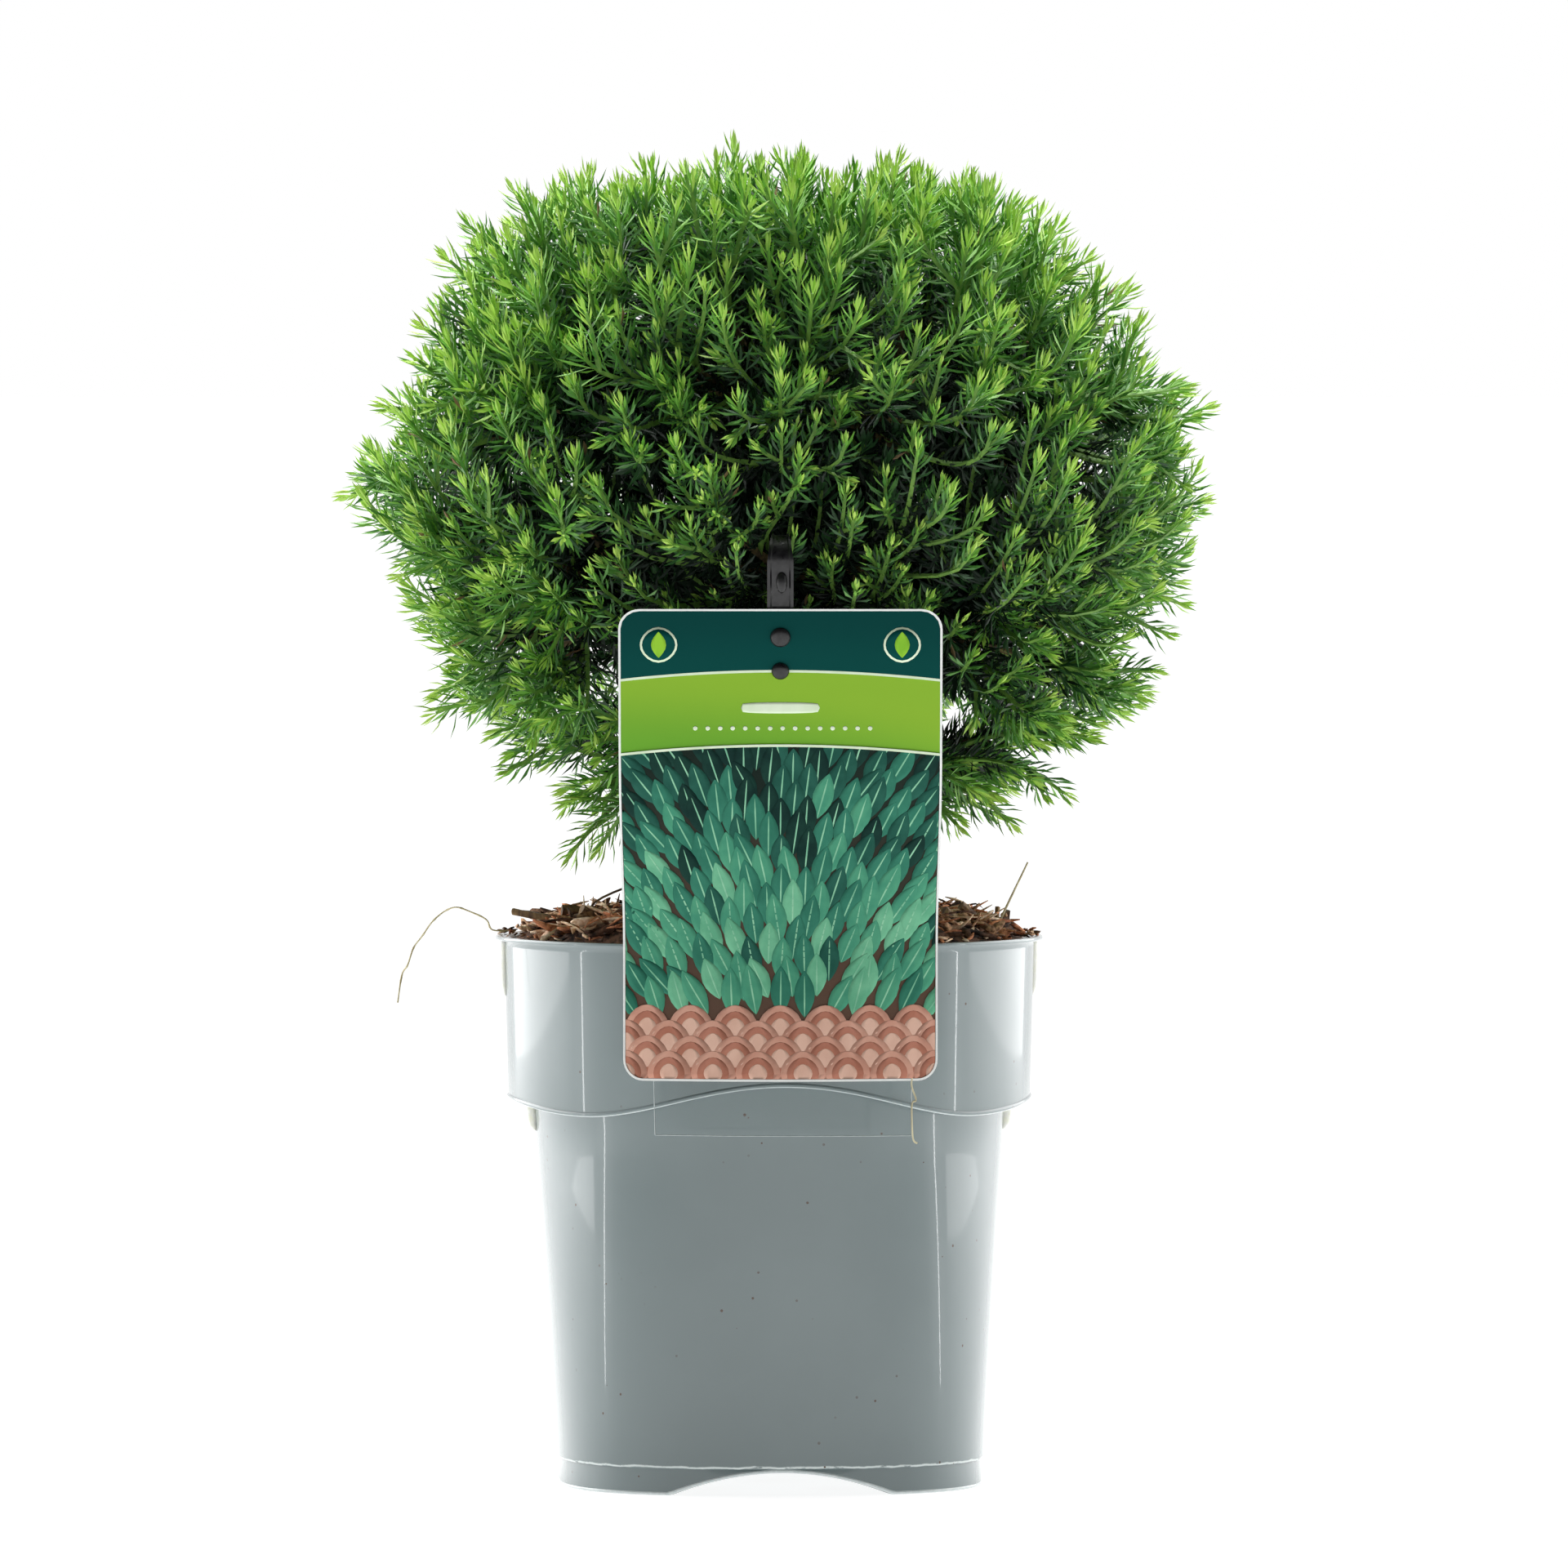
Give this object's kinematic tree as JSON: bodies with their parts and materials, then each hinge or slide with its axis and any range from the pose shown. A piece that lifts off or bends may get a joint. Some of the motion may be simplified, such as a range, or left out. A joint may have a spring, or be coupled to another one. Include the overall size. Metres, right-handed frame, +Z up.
{
  "type": "potted teddy arborvitae",
  "caption": "Dense ball-shaped dwarf arborvitae with soft needles, on a short trunk in a grey nursery pot topped with bark mulch, with a blank picture label on a dark tie.",
  "frame": {"origin": "middle of the underside of the whole object's box, on the surface that the pot stands on; the pot's own axis is 7 mm to the left of it", "axes": "+Z up along the trunk, -Y to the front where the label is, +X to the right as seen from the front"},
  "size_m": [0.2728, 0.2722, 0.4188],
  "materials": {
    "grey_plastic": "smooth grey injection-moulded pot, half gloss, with pale scuffs",
    "bark_mulch": "shredded brown bark and chips over potting mix",
    "bark": "thin fibrous reddish-brown bark",
    "needles": "soft needles, deep green with bright yellow-green tips",
    "printed_card": "printed plastic card with rounded corners and a thin pale border",
    "dark_plastic": "dark purple-black moulded plastic"
  },
  "bodies": {
    "root": {"pot": "grey_plastic", "soil": "bark_mulch", "trunk": "bark", "label": "printed_card", "tie": "dark_plastic", "bough_low_1": "bark", "bough_low_2": "bark", "bough_low_3": "bark", "bough_low_4": "bark", "bough_low_5": "bark", "bough_middle_1": "bark", "bough_middle_2": "bark", "bough_middle_3": "bark", "bough_middle_4": "bark", "bough_middle_5": "bark", "bough_middle_6": "bark", "bough_high_1": "bark", "bough_high_2": "bark", "bough_high_3": "bark", "bough_high_4": "bark", "bough_high_5": "bark", "foliage_low_1": "needles", "foliage_low_2": "needles", "foliage_low_3": "needles", "foliage_low_4": "needles", "foliage_low_5": "needles", "foliage_middle_1": "needles", "foliage_middle_2": "needles", "foliage_middle_3": "needles", "foliage_middle_4": "needles", "foliage_middle_5": "needles", "foliage_middle_6": "needles", "foliage_high_1": "needles", "foliage_high_2": "needles", "foliage_high_3": "needles", "foliage_high_4": "needles", "foliage_high_5": "needles", "foliage_top": "needles"}
  },
  "joints": []
}
